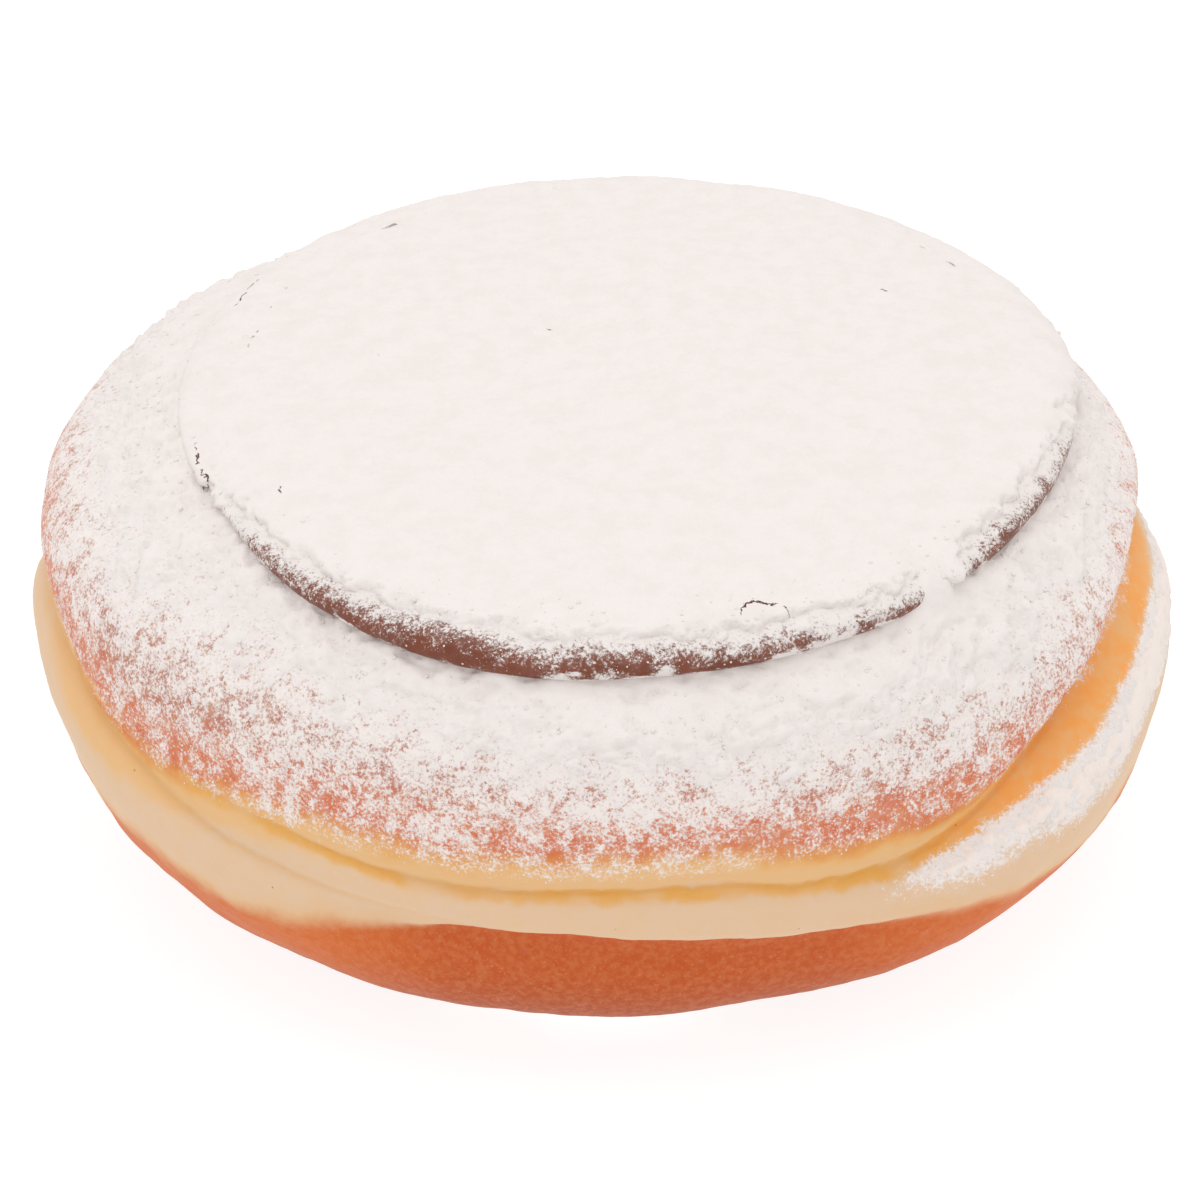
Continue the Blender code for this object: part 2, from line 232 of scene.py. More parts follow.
def makeSugarMaterial(name, bright, shade, lumpSize, lumpDepth):
    material, tree, shader = newMaterial(name, Roughness=0.95, Specular_IOR_Level=0.15)
    place = objectPlace(tree)
    links = {"Place": place, "Colour": sugarColours[bright], "Dark": sugarColours[shade],
             "Size": 2.2 * mm, "Amount": 0.45}
    colour = useGroup(tree, mottle, links)["Colour"]
    # cracks: crackSide is the distance to the nearest one, crackWidth how wide it gapes
    fray = calc(tree, "SUBTRACT", noiseAt(tree, place, 0.8 * mm, detail=3.0, rough=0.7), 0.5)
    side = calc(tree, "ABSOLUTE", calc(tree, "MULTIPLY_ADD", fray, 1.1, attribute(tree, "crackSide")))
    gape = calc(tree, "MULTIPLY", attribute(tree, "crackWidth"),
                ease(tree, noiseAt(tree, place, 0.9 * mm, detail=2.0), 0.36, 0.56))
    gaping = calc(tree, "MULTIPLY", ease(tree, calc(tree, "SUBTRACT", side, gape), 0.03, -0.03),
                 ease(tree, gape, 0.01, 0.06))
    colour = mixColour(tree, gaping, colour, sugarColours["crack"])
    lumps = noiseAt(tree, place, lumpSize, detail=5.0, rough=0.7)
    finishSurface(tree, shader, colour, lumps, lumpDepth)
    return material


# dough

doughLook = {
    # (turn, height) of the edges that shape and colours follow
    "fold": [(-80, 26.8), (-60, 24.2), (-39, 21.6), (-19, 19.8), (0, 20.0), (10, 19.9), (20, 18.7),
             (30, 18.4), (37, 19.5), (45, 21.8), (57, 25.8), (68, 28.8), (90, 28.6), (120, 26.5),
             (160, 25.0), (215, 24.6), (255, 26.0)],
    "crease": [(-90, 25.0), (-72, 24.0), (-61, 21.9), (-46, 19.0), (-35, 17.7), (-20, 16.7), (0, 15.8),
               (60, 15.8), (180, 16.0), (250, 22.0)],
    "crust": [(-75, 13.4), (-60, 12.7), (-49, 11.6), (-40, 11.6), (-29, 13.9), (-22, 15.4),
              (-16, 16.2), (-6, 16.5), (1, 16.1), (9, 15.3), (20, 14.2), (28, 13.4), (36, 13.5),
              (46, 12.7), (58, 11.8), (90, 11.5), (150, 12.0), (200, 12.5), (250, 13.0)],
    "foldDepth": [(-85, 0.0), (-55, 0.12), (-30, 0.18), (0, 0.18), (20, 0.20), (45, 0.30), (90, 0.3),
                  (180, 0.25), (240, 0.2)],
    "creaseDepth": [(-110, 0.0), (-80, 0.16), (-45, 0.20), (-22, 0.10), (-12, 0.0), (180, 0.0)],
    # (turn, length) of how far below the fold, and above the crust's line, the colours pass into each other
    "foldSlip": [(-180, 0.0), (-90, 0.0), (0, 0.0), (20, 0.0), (30, 0.0), (40, 0.5), (50, 1.2),
                 (60, 1.8), (70, 1.8), (90, 0.6), (105, 0.0), (120, 0.0)],
    # (turn, length) of how far the amber and orange reach down beyond that
    "warmth": [(-180, 0.0), (-110, 0.3), (-90, 1.2), (-75, 2.8), (-62, 4.2), (-52, 4.0), (-44, 2.4),
               (-34, 1.0), (-22, 0.2), (-12, 0.0), (0, 0.0), (25, 0.0), (40, 0.7), (52, 1.5),
               (66, 1.7), (85, 0.7), (105, 0.0)],
    "crustSlip": [(-100, 0.3), (-70, 1.0), (-49, 1.5), (-38, 1.3), (-27, 0.0), (0, 0.0), (22, 0.0),
                  (30, -0.3), (38, -0.8), (47, -0.7), (60, 0.2), (75, 0.6), (95, 0.6), (130, 0.2)],
    # (turn, width) of the amber stripe under the fold, partly the dough's colour and partly painted shade
    # under the fold, and how deep its colour is
    "stripeWidth": [(-90, 0.4), (-60, 0.6), (-40, 0.8), (-20, 0.8), (0, 1.0), (20, 1.1), (35, 1.3),
                    (45, 1.6), (57, 1.9), (68, 1.9), (80, 1.4), (110, 0.9), (180, 0.8), (240, 0.6)],
    "stripeDepth": [(-90, 0.2), (-60, 0.7), (-30, 0.9), (0, 1.0), (25, 1.1), (38, 2.0), (48, 2.8),
                    (75, 2.8), (95, 1.6), (130, 0.9), (240, 0.6)],
    # (turn, share) of how softly the band passes into the base
    "crustSoft": [(-100, 0.8), (-60, 1.0), (-32, 1.0), (-24, 0.5), (-18, 0.0), (22, 0.0), (32, 0.6),
                  (44, 1.0), (60, 1.0), (100, 0.8), (180, 0.5)],
    "sugarFoot": [(-90, 27.6), (-73, 25.2), (-61, 22.8), (-52, 21.7), (-40, 21.3), (-21, 21.0),
                  (0, 20.9), (19, 20.9), (30, 20.9), (37, 21.3), (45, 22.2), (52, 23.4), (60, 25.2),
                  (67, 26.7), (80, 28.0), (100, 28.2), (150, 27.2), (220, 27.2)],
    "sugarRise": [(-90, 8.0), (-65, 10.5), (-52, 12.5), (-30, 12.0), (-10, 10.2), (10, 9.8),
                  (30, 10.2), (44, 9.5), (56, 9.0), (66, 7.0), (90, 6.5), (180, 8.0)],
    "heart": (0.0, 0.0, 0.020),
    "columns": 600,
    "rows": (22, 24, 50, 34, 24),  # underside, base, band, shoulder and crown
    "unevenness": 0.22,
    "lip": 0.30,  # how deep the base lies under the lip of the band
    "powder": (0.70, -3, 24),  # on the foot of the base: how much, the turn of its middle, its width
    "ledgeDust": 0.84,
    "pale": (0.715, 0.505, 0.335, 1),
    "straw": (0.745, 0.460, 0.220, 1),
    "amber": (0.740, 0.375, 0.085, 1),
    "glow": (0.860, 0.360, 0.085, 1),  # in the open fold on the right
    # gold: the dough's colour in the creases, with painted shade of the crease in it
    "gold": (0.760, 0.440, 0.170, 1),  # in the creases
    "orange": (0.600, 0.118, 0.023, 1),
    "brown": (0.400, 0.095, 0.045, 1),
    "base": (0.520, 0.088, 0.014, 1),
    "baseEdge": (0.620, 0.135, 0.022, 1),  # where the base passes softly into the band
    "baseDark": (0.360, 0.060, 0.012, 1),
    "baseSpeck": (0.640, 0.240, 0.085, 1),
    "pore": (0.450, 0.090, 0.030, 1),
}


def around(turn, knots):
    # A smooth closed curve through the knots, at turns in degrees.
    angles = np.array([a for a, _ in knots], float)
    values = np.array([v for _, v in knots], float)
    angles = np.concatenate([angles[-2:] - 360, angles, angles[:2] + 360])
    values = np.concatenate([values[-2:], values, values[:2]])
    slopes = np.gradient(values, angles)
    at = (np.asarray(turn, float) - knots[0][0]) % 360 + knots[0][0]
    k = np.searchsorted(angles, at, side="right") - 1
    span = angles[k + 1] - angles[k]
    s = (at - angles[k]) / span
    start = (2 * s**3 - 3 * s**2 + 1) * values[k] + (s**3 - 2 * s**2 + s) * span * slopes[k]
    end = (3 * s**2 - 2 * s**3) * values[k + 1] + (s**3 - s**2) * span * slopes[k + 1]
    return start + end


def turnOf(x, y):
    return np.degrees(np.arctan2(x, -y))


def smoothstep(x, low, high):
    t = np.clip((x - low) / (high - low), 0.0, 1.0)
    return t * t * (3 - 2 * t)


def cloudAt(point, size, octaves=3):
    # Fractal noise of about -1 to 1, at a point in metres.
    return noise.fractal(Vector(point) / size, 1.0, 2.0, octaves, noise_basis="PERLIN_ORIGINAL")


def clouds(spots, size, octaves=3, shift=0.0):
    found = [cloudAt(p + shift, size, octaves) for p in spots.reshape(-1, 3)]
    return np.array(found).reshape(spots.shape[:-1])


def bell(x, width):
    return np.exp(-((x / width) ** 2))


def outAt(turn):
    return Vector((math.sin(math.radians(turn)), -math.cos(math.radians(turn)), 0.0))


def treeOf(*pieces):
    spots, faces = [], []
    for piece in pieces:
        first = len(spots)
        spots += [v.co for v in piece.data.vertices]
        faces += [[first + i for i in p.vertices] for p in piece.data.polygons]
    return BVHTree.FromPolygons(spots, faces)


def castOn(tree, target, away, reach=0.06):
    # The outermost point of a surface on the line that runs through target along away. A line that
    # slips between two faces is moved a hair.
    for nudge in (0.0, 1e-6, -2e-6, 7e-6, -2e-5):
        start = Vector(target) + away * reach + Vector((nudge, -nudge, nudge))
        spot, _, _, _ = tree.ray_cast(start, -away, 2 * reach)
        if spot is not None:
            return spot
    raise RuntimeError(f"no surface at {tuple(target)} along {tuple(away)}")


def castGrid(tree, heart, turns, slopes):
    # The surface round a heart: one column for each turn, one row for each slope (degrees up).
    spots = np.empty((*slopes.shape, 3))
    for c, turn in enumerate(turns):
        out = outAt(turn)
        for r, slope in enumerate(np.radians(slopes[:, c])):
            spots[r, c] = castOn(tree, heart, out * math.cos(slope) + Vector((0, 0, math.sin(slope))), 0.08)
    return spots


def outwardAt(spots, wholeRound=True):
    # The outward direction at each point of a grid whose rows run upwards.
    if wholeRound:
        across = np.roll(spots, -1, 1) - np.roll(spots, 1, 1)
    else:
        across = np.gradient(spots, axis=1)
    found = np.cross(across, np.gradient(spots, axis=0))
    return found / (np.linalg.norm(found, axis=-1, keepdims=True) + 1e-12)


def gridMesh(name, spots, capped=False, wholeRound=True):
    # A grid as a closed shell: a cap comes to a point at its middle, and what lies inside the body is
    # closed straight across.
    rows, columns, _ = spots.shape
    corners = spots.reshape(-1, 3)
    faces = []
    for r in range(rows - 1 if capped else rows):
        above = (r + 1) % rows * columns
        for c in range(columns if wholeRound else columns - 1):
            d = (c + 1) % columns
            faces.append((r * columns + c, r * columns + d, above + d, above + c))
    if capped:
        corners = np.vstack([corners, spots[-1].mean(0), spots[0].mean(0)])
        last, tip, heel = (rows - 1) * columns, rows * columns, rows * columns + 1
        faces += [(last + c, last + (c + 1) % columns, tip) for c in range(columns)]
        faces += [((c + 1) % columns, c, heel) for c in range(columns)]
    if not wholeRound:
        faces.append(tuple(r * columns for r in range(rows)))
        faces.append(tuple(r * columns + columns - 1 for r in reversed(range(rows))))
    mesh = bpy.data.meshes.new(name)
    mesh.from_pydata([tuple(p) for p in corners], [], faces)
    piece = bpy.data.objects.new(name, mesh)
    bpy.context.scene.collection.objects.link(piece)
    return piece


def smoothCopy(node, name, levels):
    working = bmesh.new()
    working.from_mesh(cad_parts[node].data)
    bmesh.ops.remove_doubles(working, verts=working.verts, dist=1e-6)
    bmesh.ops.join_triangles(
        working, faces=working.faces, angle_face_threshold=math.pi, angle_shape_threshold=math.pi
    )
    mesh = bpy.data.meshes.new(name)
    working.to_mesh(mesh)
    working.free()
    piece = bpy.data.objects.new(name, mesh)
    bpy.context.scene.collection.objects.link(piece)
    if levels:
        rounding = piece.modifiers.new("rounding", "SUBSURF")
        rounding.levels = rounding.render_levels = levels
        makePlain(piece)
    return piece


def makePlain(piece):
    graph = bpy.context.evaluated_depsgraph_get()
    mesh = bpy.data.meshes.new_from_object(piece.evaluated_get(graph))
    piece.modifiers.clear()
    piece.data = mesh
    mesh.name = piece.name


def verticesOf(piece):
    spots = np.empty(len(piece.data.vertices) * 3)
    piece.data.vertices.foreach_get("co", spots)
    return spots.reshape(-1, 3)


def normalsOf(piece):
    found = np.empty(len(piece.data.vertices) * 3)
    piece.data.vertex_normals.foreach_get("vector", found)
    return found.reshape(-1, 3)


def setVertices(piece, spots):
    piece.data.vertices.foreach_set("co", np.asarray(spots, float).ravel())
    piece.data.update()


def setAttribute(piece, name, values):
    layer = piece.data.attributes.new(name, "FLOAT", "POINT")
    layer.data.foreach_set("value", np.asarray(values, float))


def finishPiece(piece, material, slot, *nodes):
    piece.data.materials.clear()
    piece.data.materials.append(material)
    piece.data.shade_smooth()
    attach(piece, "root")
    if nodes:
        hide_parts(*nodes)


ledgeCrust = {
    "turns": (24.0, 106.0),
    "columns": 460,
    "rows": 64,
    "thickness": 0.22,
    # (turn, height) of the limits of the drift on the ledge
    "lower": [(24, 17.0), (30, 16.0), (36, 15.5), (40, 16.0), (43, 16.6), (48, 16.6), (53, 16.9),
              (59, 18.0), (68, 20.2), (80, 21.3), (106, 21.0)],
    "upper": [(24, 17.3), (30, 17.2), (36, 18.2), (41, 19.2), (45, 20.0), (49, 20.8), (54, 21.7),
              (58, 22.8), (62, 23.9), (68, 25.3), (72, 26.0), (80, 26.3), (106, 25.6)],
    "spare": 1.3,  # how far the grid goes beyond the limits, under the dough
}


def sugarShare(turn, height):
    # How much of the bun's surface the sugar covers, 1 being all of it.
    share = (height - around(turn, doughLook["sugarFoot"])) / around(turn, doughLook["sugarRise"])
    return np.interp(share, [0.0, 0.10, 0.45, 0.92, 1.26, 1.6], [0.0, 0.36, 0.50, 0.72, 1.0, 1.2])


def makeDoughMaterial(look):
    material, tree, shader = newMaterial("friedDough", Roughness=0.60, Specular_IOR_Level=0.18)
    shader.inputs["Subsurface Weight"].default_value = 0.12
    shader.inputs["Subsurface Radius"].default_value = (1.0, 0.45, 0.2)
    shader.inputs["Subsurface Scale"].default_value = 1.5 * mm
    place = objectPlace(tree)
    names = ("aboveFold", "aboveCrease", "aboveCrust", "sugarCover")
    aboveFold, aboveCrease, aboveCrust, cover = (attribute(tree, n) for n in names)
    wander = calc(tree, "SUBTRACT", noiseAt(tree, place, 5 * mm, detail=4.0, rough=0.6), 0.5)
    level = calc(tree, "MULTIPLY_ADD", wander, 2.4, aboveFold)
    colour = mixColour(tree, ease(tree, level, -1.0, 0.6), look["pale"], look["straw"])
    colour = mixColour(tree, ease(tree, level, 1.0, 3.4), colour, look["amber"])
    colour = mixColour(tree, ease(tree, level, 1.8, 4.6), colour, look["orange"])
    colour = mixColour(tree, ease(tree, level, 5.5, 10.0), colour, look["brown"])
    # a stripe of amber under the fold, and a thin line of it along the crease, both partly the dough's
    # colour and partly painted shade in the fold and the crease
    fray = calc(tree, "SUBTRACT", noiseAt(tree, place, 1.1 * mm, detail=3.0, rough=0.7), 0.5)
    under = calc(tree, "MULTIPLY_ADD", fray, 0.5, attribute(tree, "underFold"))
    under = calc(tree, "MULTIPLY_ADD", wander, 0.8, under)
    deep = attribute(tree, "stripeDepth")
    top = ease(tree, deep, 1.1, 2.4, -0.30, -1.30)
    inStripe = ease(tree, under, top, calc(tree, "ADD", top, 0.35))
    inStripe = calc(tree, "MULTIPLY", inStripe, ease(tree, under, 1.30, 0.50))
    patchy = ease(tree, noiseAt(tree, place, 7 * mm, detail=2.0), 0.36, 0.56, 0.25, 1.0)
    stripeAndShade = calc(tree, "MULTIPLY", inStripe, calc(tree, "MULTIPLY", patchy, deep, clamp=True))
    streaks = ease(tree, noiseAt(tree, place, 2.6 * mm, detail=4.0, rough=0.65), 0.44, 0.64, 0.0, 0.5)
    glow = mixColour(tree, streaks, look["glow"], look["straw"])
    stripeAndShadeColour = mixColour(tree, ease(tree, deep, 1.1, 2.6), look["amber"], glow)
    # the stripe is partly the dough's amber and partly painted shade under the fold
    colour = mixColour(tree, stripeAndShade, colour, stripeAndShadeColour)
    # the gold line along the crease is partly painted shade, stronger where the crease is deeper
    line = hump(tree, calc(tree, "MULTIPLY_ADD", fray, 0.7, aboveCrease), 0.42)
    colour = mixColour(tree, calc(tree, "MULTIPLY", line, attribute(tree, "creaseGoldAndShade")), colour, look["gold"])
    cloud = ease(tree, noiseAt(tree, place, 1.8 * mm, detail=5.0, rough=0.65), 0.40, 0.66, 0.0, 0.22)
    colour = mixColour(tree, cloud, colour, look["straw"])
    # pores
    cells = addNode(tree, "ShaderNodeTexVoronoi", {"Vector": place, "Scale": 1.0 / (1.4 * mm)})
    chance = addNode(tree, "ShaderNodeSeparateColor", {0: cells.outputs["Color"]}).outputs[0]
    rare = calc(tree, "LESS_THAN", chance, 0.10)
    pore = calc(tree, "MULTIPLY", rare, ease(tree, cells.outputs["Distance"], 0.09, 0.05, 0.0, 0.6))
    colour = mixColour(tree, pore, colour, look["pore"])
    # the fried base, sharp under the lip and soft to its sides
    soft = attribute(tree, "crustSoft")
    edge = calc(tree, "SUBTRACT", noiseAt(tree, place, 1.5 * mm), 0.5)
    edge = calc(tree, "MULTIPLY_ADD", edge, 0.4, aboveCrust)
    edge = calc(tree, "ADD", edge, calc(tree, "MULTIPLY", calc(tree, "MULTIPLY", wander, soft), 3.0))
    base = mixColour(tree, ease(tree, edge, -2.0, -12.0), look["base"], look["baseDark"])
    paler = calc(tree, "MULTIPLY", soft, ease(tree, edge, -11.0, -1.0))
    base = mixColour(tree, paler, base, look["baseEdge"])
    base = useGroup(tree, mottle, {"Place": place, "Colour": base, "Dark": look["baseSpeck"],
                                   "Size": 0.6 * mm, "Amount": 0.30})["Colour"]
    fleck = ease(tree, noiseAt(tree, place, 0.24 * mm, detail=2.0), 0.60, 0.70, 0.0, 0.45)
    base = mixColour(tree, fleck, base, look["baseSpeck"])
    near = calc(tree, "MULTIPLY", soft, ease(tree, edge, 2.4, 0.3, 0.0, 0.35))
    colour = mixColour(tree, near, colour, look["amber"])
    reach = calc(tree, "MULTIPLY_ADD", soft, 1.3, 0.12)
    colour = mixColour(tree, ease(tree, edge, reach, calc(tree, "MULTIPLY", reach, -1.0)), colour, base)
    sugar = useGroup(tree, dusting, {"Place": place, "Cover": cover, "Grain": 0.26 * mm, "Veil": 0.24})
    white = mixColour(tree, ease(tree, cover, 0.5, 1.0), sugarColours["dust"], sugarColours["bright"])
    white = useGroup(tree, mottle, {"Place": place, "Colour": white, "Dark": sugarColours["shade"],
                                    "Size": 1.5 * mm, "Amount": 0.4})["Colour"]
    colour = mixColour(tree, sugar["Mask"], colour, white)
    crumb = noiseAt(tree, place, 0.9 * mm, detail=5.0, rough=0.6)
    height = calc(tree, "MULTIPLY_ADD", sugar["Relief"], 0.8, calc(tree, "MULTIPLY", crumb, 0.4))
    rough = ease(tree, sugar["Mask"], 0.0, 1.0, 0.55, 0.95)
    finishSurface(tree, shader, colour, height, 0.032 * mm, rough)
    return material


def slopeTo(height, radius=45.0):
    # The slope from the heart to a height (mm) on the bun's side.
    return np.degrees(np.arctan2(height - doughLook["heart"][2] / mm, radius))


def makeDough(look):
    source = smoothCopy("bun", "doughSource", 2)
    tree = treeOf(source)
    bpy.data.objects.remove(source)
    turns = np.linspace(0.0, 360.0, look["columns"], endpoint=False)
    level = np.zeros_like(turns)
    fold = around(turns, look["fold"])
    crust = around(turns, look["crust"])
    stops = [level - 88, level - 21, slopeTo(crust), slopeTo(fold), slopeTo(fold + 8), level + 88]
    slopes = [low + (high - low) * k / count
              for low, high, count in zip(stops, stops[1:], look["rows"]) for k in range(count)]
    slopes.append(stops[-1])
    spots = castGrid(tree, Vector(look["heart"]), turns, np.array(slopes))
    outward = outwardAt(spots)
    turn, height = turnOf(spots[..., 0], spots[..., 1]), spots[..., 2] / mm
    soft = np.clip(around(turn, look["crustSoft"]), 0.0, 1.0)
    foldSlip = around(turn, look["foldSlip"])
    aboveFold = height - around(turn, look["fold"])
    aboveFold += 0.24 * clouds(spots, 1.3 * mm) + 0.22 * clouds(spots, 5 * mm, 2)
    aboveCrease = height - around(turn, look["crease"]) + 0.10 * clouds(spots, 2 * mm, 2, 0.1)
    aboveCrust = height - around(turn, look["crust"]) + 0.10 * clouds(spots, 1.6 * mm, 3, 0.2)
    foldDepth = around(turn, look["foldDepth"])
    creaseDepth = np.maximum(around(turn, look["creaseDepth"]), 0.0)
    move = foldDepth * (0.45 * bell(aboveFold - 0.5, 0.35) - bell(aboveFold, 0.26))
    move += creaseDepth * (0.3 * bell(aboveCrease - 0.6, 0.5) - bell(aboveCrease, 0.30))
    underLip = (1 - smoothstep(aboveCrust, -0.12, 0.12)) * bell(aboveCrust, 3.5)
    move -= look["lip"] * (1 - 0.8 * soft) * underLip
    move += look["unevenness"] * clouds(spots, 9 * mm) * smoothstep(height, 0.0, 4.0)
    move += 0.035 * clouds(spots, 1.5 * mm, 3, 0.3) * smoothstep(height, 0.0, 2.0)
    spots = spots + outward * (move * mm)[..., None]
    piece = gridMesh("dough", spots, capped=True)
    powder, middle, width = look["powder"]
    powder = powder * (1 - smoothstep(height, 1.6, 3.4)) * bell(turn - middle, width)
    low, high = (np.interp(turn, *zip(*ledgeCrust[name])) for name in ("lower", "upper"))
    ledge = look["ledgeDust"] * smoothstep(height - low, -1.8, 2.4) * smoothstep(high - height, -0.8, 0.6)
    ledge *= smoothstep(turn, 25, 33) * (1 - smoothstep(turn, 90, 106))
    cover = np.maximum(np.maximum(sugarShare(turn, height), powder), ledge)
    values = {  # and what each is at the crown and at the bottom
        "aboveCrease": (aboveCrease, 20, -20),
        "aboveFold": (aboveFold + foldSlip + around(turn, look["warmth"]), 20, -20),
        "aboveCrust": (aboveCrust - around(turn, look["crustSlip"]), 20, -20),
        "crustSoft": (soft, 0, 0),
        "underFold": (-(aboveFold + foldSlip) / around(turn, look["stripeWidth"]), -9, 9),
        "stripeDepth": (np.maximum(around(turn, look["stripeDepth"]), 0.0), 0, 0),
        # how strongly the gold line, with its painted crease shade, lies along the crease
        "creaseGoldAndShade": (np.clip(creaseDepth * 2.4, 0.0, 0.6), 0, 0),
        "sugarCover": (cover, 1, 0),
    }
    for name, (inner, crown, bottom) in values.items():
        setAttribute(piece, name, np.append(inner.ravel(), [crown, bottom]))
    finishPiece(piece, makeDoughMaterial(look), "fried_dough", "bun")
    return piece


dough = makeDough(doughLook)
print("dough", len(dough.data.polygons), "faces")


# chocolate disc

chocolateLook = {
    "colour": (0.190, 0.049, 0.022, 1),
    "dark": (0.125, 0.028, 0.012, 1),
    "centre": (0.0026, -0.0001),
    "round": 2.2,  # from the disc's edge in to the middle of its rounding
    "unevenness": 0.10,
    "dusted": 92,  # how far below the crust's edge dust still lies, in degrees of the rounding
    # of the dust on its foot: how far down it begins and is full, how ragged it is, and the turn of
    # the middle and the width of the stretch at the left that stays bare
    "foot": {"from": 8, "to": 34, "ragged": 34, "bareAt": -24, "bareWidth": 10},
    # how far down the edge the sugar's crust reaches, as degrees of its rounding, 0 being half way down
    "crustEdge": [(-180, -70), (-110, -70), (-85, -60), (-72, -15), (-62, 18), (-50, 44), (-31, 52),
                  (-15, 52), (-11, 40), (-7, 50), (0, 46), (9, 40), (20, 32), (30, 28), (38, 24),
                  (41.5, -25), (45, 30), (50, 40), (60, 40), (68, 36), (76, 28), (86, 10), (98, -50),
                  (130, -70)],
}


def makeChocolateMaterial(look):
    material, tree, shader = newMaterial("chocolate", Roughness=0.45, Specular_IOR_Level=0.28)
    place = objectPlace(tree)
    colour = useGroup(tree, mottle, {"Place": place, "Colour": look["colour"], "Dark": look["dark"],
                                     "Size": 2.5 * mm, "Amount": 0.5})["Colour"]
    cover = attribute(tree, "sugarCover")
    sugar = useGroup(tree, dusting, {"Place": place, "Cover": cover, "Grain": 0.24 * mm, "Veil": 0.12})
    colour = mixColour(tree, sugar["Mask"], colour, sugarColours["bright"])
    waves = calc(tree, "MULTIPLY", noiseAt(tree, place, 1.5 * mm), 0.2)
    height = calc(tree, "MULTIPLY_ADD", sugar["Relief"], 0.8, waves)
    rough = ease(tree, sugar["Mask"], 0.0, 1.0, 0.42, 0.95)
    finishSurface(tree, shader, colour, height, 0.036 * mm, rough)
    return material


def discRounding(tree, turn, look):
    # The middle of the edge's rounding at a turn, and how far the edge is from the disc's middle.
    middle, out, up = Vector((*look["centre"], 0.0)), outAt(turn), Vector((0, 0, 1))
    under = middle + out * 0.031 + up * 0.04
    crown, sole = (castOn(tree, under, d).z for d in (up, -up))
    level = max(crown - 1.4 * mm, (crown + sole) / 2)
    reach = (castOn(tree, middle + up * level + out * 0.03, out) - middle).xy.length
    core = middle + out * (reach - look["round"] * mm)
    top, low = (castOn(tree, core + up * 0.04, d).z for d in (up, -up))
    core.z = max(top - look["round"] * 0.8 * mm, (top + low) / 2)
    return core, reach


def makeChocolateDisc(look):
    piece = smoothCopy("chocolate_disc", "chocolateDisc", 2)
    spots = verticesOf(piece)
    tree = treeOf(piece)
    stations = np.arange(-180.0, 184.0, 4.0)
    cores = [discRounding(tree, t, look) for t in stations]
    aside = spots[:, :2] - look["centre"]
    turn = turnOf(*aside.T)
    inset = np.interp(turn, stations, [reach for _, reach in cores]) - look["round"] * mm
    level = np.interp(turn, stations, [core.z for core, _ in cores])
    beyond = np.hypot(*aside.T) - inset
    angle = np.degrees(np.arctan2(spots[:, 2] - level, beyond))
    limit = around(turn, look["crustEdge"])
    # dust that fell from above, and some on its foot, but hardly where the foot is in view at the left
    fallen = 0.95 * smoothstep(angle, limit - look["dusted"], limit + 12) ** 1.15
    foot = look["foot"]
    below = -angle + foot["ragged"] * clouds(spots, 1.3 * mm)
    atFoot = 0.9 * smoothstep(below, foot["from"], foot["to"])
    atFoot *= 1 - 0.7 * bell(turn - foot["bareAt"], foot["bareWidth"])
    setAttribute(piece, "sugarCover", np.maximum(fallen, atFoot))
    lumps = clouds(spots, 5 * mm)
    setVertices(piece, spots + normalsOf(piece) * (lumps * look["unevenness"] * mm)[:, None])
    finishPiece(piece, makeChocolateMaterial(look), "chocolate_icing", "chocolate_disc")
    return piece


disc = makeChocolateDisc(chocolateLook)
print("chocolate disc", len(disc.data.polygons), "faces")


# sugar crusts

discCrust = {
    "columns": 760,
    "edgeRows": 34,
    "topRows": 84,
    "thickness": 0.62,
    "ragged": 34,  # how far its edge wanders up and down the rounding, in degrees
}

crustCracks = [
    # the line of each crack in plan (mm), and how wide it gapes
    ([(-32.9, -5.2), (-32.5, -7.0), (-32.2, -8.9), (-31.9, -10.2), (-31.2, -11.4), (-30.7, -12.6)], 0.075),
    ([(-25.5, -14.2), (-25.4, -14.7), (-25.2, -15.2)], 0.07),
    ([(-30.6, 15.6), (-30.1, 17.2), (-29.2, 19.4), (-28.2, 20.8)], 0.07),
    ([(-18.4, 5.6), (-17.9, 5.1)], 0.06),
    ([(-4.2, 8.4), (-3.6, 7.9)], 0.06),
    ([(10.0, -35.2), (10.3, -34.0), (10.6, -33.2), (11.2, -32.8), (12.1, -33.2), (13.1, -33.1),
      (13.9, -33.9), (14.3, -34.7)], 0.085),
    ([(24.0, 13.6), (24.5, 13.0)], 0.06),
]


def markCracks(piece):
    # The signed distance (mm) to the nearest crack and how wide that one gapes, as attributes.
    spots = verticesOf(piece)[:, :2] / mm
    nearest = np.full(len(spots), 1e6)
    side, width = np.zeros(len(spots)), np.zeros(len(spots))
    for line, gape in crustCracks:
        line = np.array(line)
        count = len(line) - 1
        for k, (start, end) in enumerate(zip(line, line[1:])):
            along = (spots - start) @ (end - start) / np.dot(end - start, end - start)
            away = spots - start - np.clip(along, 0.0, 1.0)[:, None] * (end - start)
            distance = np.hypot(*away.T)
            closer = distance < nearest
            sign = np.sign((end - start)[0] * away[:, 1] - (end - start)[1] * away[:, 0])
            place = (k + np.clip(along, 0.0, 1.0)) / count
            nearest[closer] = distance[closer]
            side[closer] = (distance * sign)[closer]
            fade = smoothstep(place, 0.0, 0.12) * (1 - smoothstep(place, 0.75, 1.0))
            width[closer] = (gape * fade * (1 - smoothstep(distance, 0.8, 1.6)))[closer]
    setAttribute(piece, "crackSide", side)
    setAttribute(piece, "crackWidth", width)


